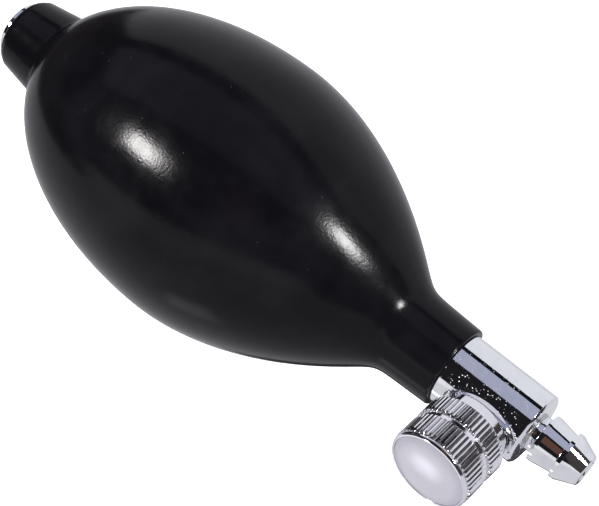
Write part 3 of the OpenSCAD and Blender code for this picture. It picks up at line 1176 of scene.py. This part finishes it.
@dataclass(frozen=True)
class Softbox:
    """A soft square light, by its direction from the object."""

    name: str
    direction: Triple
    side: float
    radiance: float
    colour: Colour = (1, 1, 1)
    distance: float = 0.9

    def build(self, aim: Vector) -> None:
        """Adds the light.

        Args:
            aim: the point that it faces.
        """
        data = bpy.data.lights.new(self.name, "AREA")
        data.shape, data.size = "SQUARE", self.side
        data.energy = self.radiance * math.pi * self.side ** 2
        data.color = self.colour
        data.use_shadow = False
        light = linked(self.name, data)
        towards = Vector(self.direction).normalized()
        light.location = aim + towards * self.distance
        light.rotation_mode = "QUATERNION"
        light.rotation_quaternion = towards.to_track_quat("Z", "Y")
        light.visible_camera = False


@dataclass(frozen=True)
class Card:
    """One card of the light tent, between two angles about X from the +Y horizon."""

    name: str
    start: float
    end: float
    glow: Colour
    span: Point = (-1.0, 1.0)
    inset: float = 0.0


@dataclass(frozen=True)
class Patch:
    """One flat card below the table top, from one corner to the other in metres."""

    name: str
    low: Point
    high: Point
    glow: Colour
    rise: float = 0.0


@dataclass
class Studio:
    """A white table inside a tent of cards, two softboxes and the camera, in metres."""

    air: Colour = (0.93, 0.93, 0.94)
    table: Colour = (0.92, 0.92, 0.925)
    table_half: float = 2.4
    tent_radius: float = 1.5
    cards: tuple[Card, ...] = (
        Card("card_backdrop", -6, 59, (0.80, 0.81, 0.85)),
        Card("card_seam", 59, 71, (0.006, 0.006, 0.007)),
        Card("card_ceiling", 71, 110, (0.40, 0.42, 0.54)),
        Card("card_flag", 110, 171, (0.012, 0.012, 0.014)),
        Card("card_apron", 171, 186, (0.86, 0.86, 0.88)),
        Card("card_case", 121, 152, (0.11, 0.056, 0.043), (0.2, 0.45), 0.2),
    )
    end_glow: Colour = (0.055, 0.048, 0.047)
    under_drop: float = 0.15
    patches: tuple[Patch, ...] = (
        Patch("card_under", (-2.4, -2.4), (2.4, 2.4), (0.68, 0.68, 0.72)),
        Patch("card_glint", (-0.086, -0.18), (-0.026, -0.122), (1.5, 1.5, 1.55), 0.002),
        Patch("card_edge", (-0.085, 0.025), (0.07, 0.115), (0.06, 0.06, 0.07), 0.002),
    )
    boxes: tuple[Softbox, ...] = (
        Softbox("softbox_left", (-0.373, -0.671, 0.641), 0.17, 105.0, (1.0, 0.965, 0.96)),
        Softbox("softbox_right", (0.852, 0.045, 0.521), 0.15, 115.0),
    )
    aim: Triple = (0, 0, 0.02)
    eye: Triple = (0.1575, -0.17204, 0.20414)
    right: Triple = (0.7678, 0.6391, -0.0456)
    down: Triple = (0.3726, -0.5032, -0.7797)
    lens: float = 106.02
    sensor: float = 36.0
    sight: Point = (0.01, 20.0)

    def emitter(self, name: str, glow: Colour) -> Material:
        """A material that only glows."""
        book = ShaderBook(name)
        light = book.add("ShaderNodeEmission", None, {"Color": (*glow, 1), "Strength": 1.0})
        book.add("ShaderNodeOutputMaterial", None, {"Surface": light.outputs[0]})
        return book.material

    @staticmethod
    def oblong(x: Point, near: Point, far: Point) -> list[Triple]:
        """A rectangle's corners, from its X at both ends and the Y and Z of two edges."""
        return [(x[0], *near), (x[1], *near), (x[1], *far), (x[0], *far)]

    def sheet(self, name: str, corners: Sequence[Triple], material: Material,
              seen: bool = False) -> Object:
        """Adds one flat sheet of the studio.

        Args:
            name: the sheet's name.
            corners: its corners in order, in metres.
            material: its material.
            seen: whether the camera sees it.

        Returns:
            The sheet.
        """
        mesh = bpy.data.meshes.new(name)
        mesh.from_pydata(corners, [], [tuple(range(len(corners)))])
        mesh.materials.append(material)
        item = linked(name, mesh)
        item.visible_camera = seen
        return item

    def tent(self) -> None:
        """Builds the cards along the tent and across its two ends."""
        reach = self.tent_radius
        outline = []
        for card in self.cards:
            radius = reach * (1 - card.inset)
            angles = [math.radians(angle) for angle in (card.start, card.end)]
            edges = [(radius * math.cos(angle), radius * math.sin(angle)) for angle in angles]
            if not card.inset:
                outline += edges
            ends = tuple(share * reach for share in card.span)
            self.sheet(card.name, self.oblong(ends, *edges), self.emitter(card.name, card.glow))
        end = self.emitter("card_end", self.end_glow)
        for side, name in ((-1, "card_end_rear"), (1, "card_end_front")):
            self.sheet(name, [(side * reach, y, z) for y, z in outline], end)

    def camera(self) -> None:
        """Adds the camera."""
        data = bpy.data.cameras.new("studio_camera")
        data.lens, data.sensor_width = self.lens, self.sensor
        data.clip_start, data.clip_end = self.sight
        camera = linked("studio_camera", data)
        right = Vector(self.right).normalized()
        back = right.cross(-Vector(self.down)).normalized()
        up = back.cross(right)
        turn = Matrix((right, up, back)).transposed().to_4x4()
        camera.matrix_world = Matrix.Translation(self.eye) @ turn
        bpy.context.scene.camera = camera

    def build(self) -> None:
        """Builds the whole studio."""
        scene = bpy.context.scene
        scene.view_settings.view_transform = "Standard"
        world = bpy.data.worlds.new("studio_air")
        world.use_nodes = True
        background = world.node_tree.nodes["Background"]
        background.inputs["Color"].default_value = (*self.air, 1)
        scene.world = world
        half = self.table_half
        table = StudioTop("studio_table", None, self.table).material()
        floor = self.sheet("studio_floor", self.oblong((-half, half), (-half, 0), (half, 0)),
                           table, True)
        # Polished metal mirrors a dimmer card below the table top. One brighter patch on it lights
        # the cap, and a dark one draws the metal's lower edges.
        floor.visible_glossy = False
        for patch in self.patches:
            (x0, y0), (x1, y1), height = patch.low, patch.high, patch.rise - self.under_drop
            self.sheet(patch.name, self.oblong((x0, x1), (y0, height), (y1, height)),
                       self.emitter(patch.name, patch.glow))
        self.tent()
        for box in self.boxes:
            box.build(Vector(self.aim))
        self.camera()
        log.info("studio: %d cards, %d patches and %d softboxes", len(self.cards),
                 len(self.patches), len(self.boxes))


def write_sizes(shown: Sequence[Object]) -> None:
    """Works out the visual model's box from every shown piece; nothing is written.

    Args:
        shown: every piece of the visual model.
    """
    points = [item.matrix_world @ vertex.co for item in shown for vertex in item.data.vertices]
    exact = [[pick(point[axis] for point in points) for axis in range(3)] for pick in (min, max)]


def main() -> None:
    """Builds every sub-assembly in order, then the studio round it."""
    logging.basicConfig(level=logging.INFO, format="%(name)s: %(message)s")
    axes = Axes.from_record(frame["record"], SCREW_FROM_MIDDLE)
    for assembly in (RubberBulb, InletValve, ValveBody, ThumbKnob, HoseTail):
        assembly(axes).build()
    HiddenWorks().build()
    Studio().build()
    write_sizes(Piece.shown)


if __name__ == "__main__":
    main()
